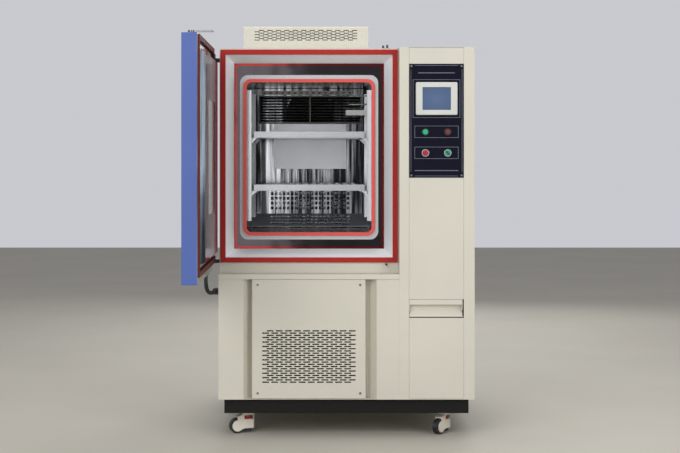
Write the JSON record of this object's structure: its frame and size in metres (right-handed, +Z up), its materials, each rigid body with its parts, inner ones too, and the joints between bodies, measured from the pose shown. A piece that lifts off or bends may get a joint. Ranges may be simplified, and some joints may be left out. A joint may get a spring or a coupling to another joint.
{
  "type": "environmental test chamber",
  "caption": "Temperature and humidity test chamber with a hinged insulated door, slide-out shelves, a stepped steel frame, a control column and leveling casters.",
  "frame": {"origin": "on the floor under the middle of the outline, with the door open at a right angle", "axes": "+X to the right as seen from the front, +Y to the back, +Z up"},
  "size_m": [1.093, 1.68, 1.638],
  "materials": {
    "ivory_paint": "textured powder coat",
    "blue_paint": "textured powder coat",
    "black_paint": "satin paint",
    "mirror_steel": "bright annealed",
    "satin_steel": "satin",
    "chrome": "polished",
    "red_rubber": "matt",
    "dark_rubber": "matt",
    "glass": "clear",
    "black_plastic": "satin",
    "cream_plastic": "satin",
    "red_plastic": "gloss",
    "green_plastic": "gloss",
    "navy_panel": "gloss film",
    "screen_glass": "gloss",
    "glass_wool": "matt",
    "aluminium": "mill",
    "tread": "matt"
  },
  "bodies": {
    "cabinet": {"base_frame": "black_paint", "cabinet_shell": "ivory_paint", "grille_panel": "ivory_paint", "panel_screws": "chrome", "chamber_shell": "ivory_paint", "insulation": "glass_wool", "liner": "mirror_steel", "stepped_frame": "mirror_steel", "frame_seals": "red_rubber", "duct_panel": "satin_steel", "outlet_louvre": "satin_steel", "sump_cover": "satin_steel", "shelf_supports": "satin_steel", "humidity_sensors": "satin_steel", "evaporator_coil": "aluminium", "heater": "satin_steel", "fan_motor": "black_paint", "top_cover": "ivory_paint", "column_shell": "ivory_paint", "column_panels": "ivory_paint", "control_plate": "navy_panel", "hmi_bezel": "cream_plastic", "hmi_screen": "screen_glass", "indicator_lamps": "green_plastic", "button_bezels": "chrome", "control_gear": "black_plastic", "compressor": "black_paint", "condenser_coil": "aluminium", "cabinet_fittings": "black_paint"},
    "door": {"door_shell": "blue_paint", "door_liner": "mirror_steel", "door_gasket": "dark_rubber", "window_glass": "glass", "door_fittings": "black_paint", "door_conduit": "black_plastic"},
    "latch": {"latch_lever": "chrome"},
    "door_switch": {"door_switch": "black_plastic"},
    "circulation_fan": {"circulation_fan": "satin_steel"},
    "condenser_fan": {"condenser_fan": "black_plastic"},
    "fill_drawer": {"fill_drawer": "ivory_paint"},
    "stop_button": {"stop_button": "red_plastic"},
    "light_selector": {"light_selector": "green_plastic"},
    "upper_shelf": {"upper_shelf": "satin_steel"},
    "lower_shelf": {"lower_shelf": "satin_steel"},
    "front_left_housing": {"front_left_housing": "cream_plastic"},
    "front_left_wheel": {"front_left_wheel": "tread"},
    "front_left_thumb_wheel": {"front_left_thumb_wheel": "red_plastic"},
    "front_left_foot": {"front_left_foot": "black_plastic"},
    "front_right_housing": {"front_right_housing": "cream_plastic"},
    "front_right_wheel": {"front_right_wheel": "tread"},
    "front_right_thumb_wheel": {"front_right_thumb_wheel": "red_plastic"},
    "front_right_foot": {"front_right_foot": "black_plastic"},
    "rear_left_housing": {"rear_left_housing": "cream_plastic"},
    "rear_left_wheel": {"rear_left_wheel": "tread"},
    "rear_left_thumb_wheel": {"rear_left_thumb_wheel": "red_plastic"},
    "rear_left_foot": {"rear_left_foot": "black_plastic"},
    "rear_right_housing": {"rear_right_housing": "cream_plastic"},
    "rear_right_wheel": {"rear_right_wheel": "tread"},
    "rear_right_thumb_wheel": {"rear_right_thumb_wheel": "red_plastic"},
    "rear_right_foot": {"rear_right_foot": "black_plastic"}
  },
  "joints": [
    {"name": "door_hinge", "type": "hinge", "parent": "cabinet", "child": "door", "pos_m": [-0.4905, -0.104, 1.09825], "axis": [0, 0, 1], "range_deg": [-25, 90], "deforming": ["door_conduit"]},
    {"name": "latch_turn", "type": "hinge", "parent": "door", "child": "latch", "pos_m": [-0.5165, -0.795, 1.539], "axis": [0, 0, 1], "range_deg": [0, 40], "stiffness_Nm_per_rad": 1, "springref_deg": -11.46},
    {"name": "door_switch_press", "type": "slide", "parent": "cabinet", "child": "door_switch", "axis": [0, 1, 0], "range_m": [0, 0.006], "stiffness_N_per_m": 200, "springref_m": -0.002},
    {"name": "upper_shelf_slide", "type": "slide", "parent": "cabinet", "child": "upper_shelf", "axis": [0, 1, 0], "range_m": [-0.38, 0]},
    {"name": "lower_shelf_slide", "type": "slide", "parent": "cabinet", "child": "lower_shelf", "axis": [0, 1, 0], "range_m": [-0.38, 0]},
    {"name": "fill_drawer_slide", "type": "slide", "parent": "cabinet", "child": "fill_drawer", "axis": [0, -1, 0], "range_m": [0, 0.18]},
    {"name": "stop_button_press", "type": "slide", "parent": "cabinet", "child": "stop_button", "axis": [0, 1, 0], "range_m": [0, 0.004], "stiffness_N_per_m": 300, "springref_m": -0.001},
    {"name": "light_selector_turn", "type": "hinge", "parent": "cabinet", "child": "light_selector", "pos_m": [0.4395, -0.163, 1.121], "axis": [0, 1, 0], "range_deg": [0, 90]},
    {"name": "circulation_fan_spin", "type": "hinge", "parent": "cabinet", "child": "circulation_fan", "pos_m": [-0.108, 0.6808, 1.296], "axis": [0, 1, 0], "continuous": true},
    {"name": "condenser_fan_spin", "type": "hinge", "parent": "cabinet", "child": "condenser_fan", "pos_m": [-0.108, 0.017, 0.349], "axis": [0, 1, 0], "continuous": true},
    {"name": "front_left_swivel", "type": "hinge", "parent": "cabinet", "child": "front_left_housing", "pos_m": [-0.3545, -0.06, 0.084], "axis": [0, 0, 1], "continuous": true},
    {"name": "front_left_roll", "type": "hinge", "parent": "front_left_housing", "child": "front_left_wheel", "pos_m": [-0.39773, -0.07573, 0.03], "axis": [0.342, -0.9397, 0], "continuous": true},
    {"name": "front_left_level", "type": "hinge", "parent": "front_left_housing", "child": "front_left_thumb_wheel", "pos_m": [-0.3545, -0.06, 0.056], "axis": [0, 0, 1], "range_deg": [0, 1440]},
    {"name": "front_left_foot_slide", "type": "slide", "parent": "front_left_housing", "child": "front_left_foot", "axis": [0, 0, -1], "range_m": [0, 0.012]},
    {"name": "front_right_swivel", "type": "hinge", "parent": "cabinet", "child": "front_right_housing", "pos_m": [0.4355, -0.06, 0.084], "axis": [0, 0, 1], "continuous": true},
    {"name": "front_right_roll", "type": "hinge", "parent": "front_right_housing", "child": "front_right_wheel", "pos_m": [0.40912, -0.09768, 0.03], "axis": [0.8192, -0.5736, 0], "continuous": true},
    {"name": "front_right_level", "type": "hinge", "parent": "front_right_housing", "child": "front_right_thumb_wheel", "pos_m": [0.4355, -0.06, 0.056], "axis": [0, 0, 1], "range_deg": [0, 1440]},
    {"name": "front_right_foot_slide", "type": "slide", "parent": "front_right_housing", "child": "front_right_foot", "axis": [0, 0, -1], "range_m": [0, 0.012]},
    {"name": "rear_left_swivel", "type": "hinge", "parent": "cabinet", "child": "rear_left_housing", "pos_m": [-0.3545, 0.74, 0.084], "axis": [0, 0, 1], "continuous": true},
    {"name": "rear_left_roll", "type": "hinge", "parent": "rear_left_housing", "child": "rear_left_wheel", "pos_m": [-0.3998, 0.74799, 0.03], "axis": [-0.1736, -0.9848, 0], "continuous": true},
    {"name": "rear_left_level", "type": "hinge", "parent": "rear_left_housing", "child": "rear_left_thumb_wheel", "pos_m": [-0.3545, 0.74, 0.056], "axis": [0, 0, 1], "range_deg": [0, 1440]},
    {"name": "rear_left_foot_slide", "type": "slide", "parent": "rear_left_housing", "child": "rear_left_foot", "axis": [0, 0, -1], "range_m": [0, 0.012]},
    {"name": "rear_right_swivel", "type": "hinge", "parent": "cabinet", "child": "rear_right_housing", "pos_m": [0.4355, 0.74, 0.084], "axis": [0, 0, 1], "continuous": true},
    {"name": "rear_right_roll", "type": "hinge", "parent": "rear_right_housing", "child": "rear_right_wheel", "pos_m": [0.41977, 0.69677, 0.03], "axis": [0.9397, -0.342, 0], "continuous": true},
    {"name": "rear_right_level", "type": "hinge", "parent": "rear_right_housing", "child": "rear_right_thumb_wheel", "pos_m": [0.4355, 0.74, 0.056], "axis": [0, 0, 1], "range_deg": [0, 1440]},
    {"name": "rear_right_foot_slide", "type": "slide", "parent": "rear_right_housing", "child": "rear_right_foot", "axis": [0, 0, -1], "range_m": [0, 0.012]}
  ],
  "couplings": [
    {"joint": "front_left_level", "follows": "front_left_foot_slide", "rad_per_m": 2094.4},
    {"joint": "front_right_level", "follows": "front_right_foot_slide", "rad_per_m": 2094.4},
    {"joint": "rear_left_level", "follows": "rear_left_foot_slide", "rad_per_m": 2094.4},
    {"joint": "rear_right_level", "follows": "rear_right_foot_slide", "rad_per_m": 2094.4}
  ]
}
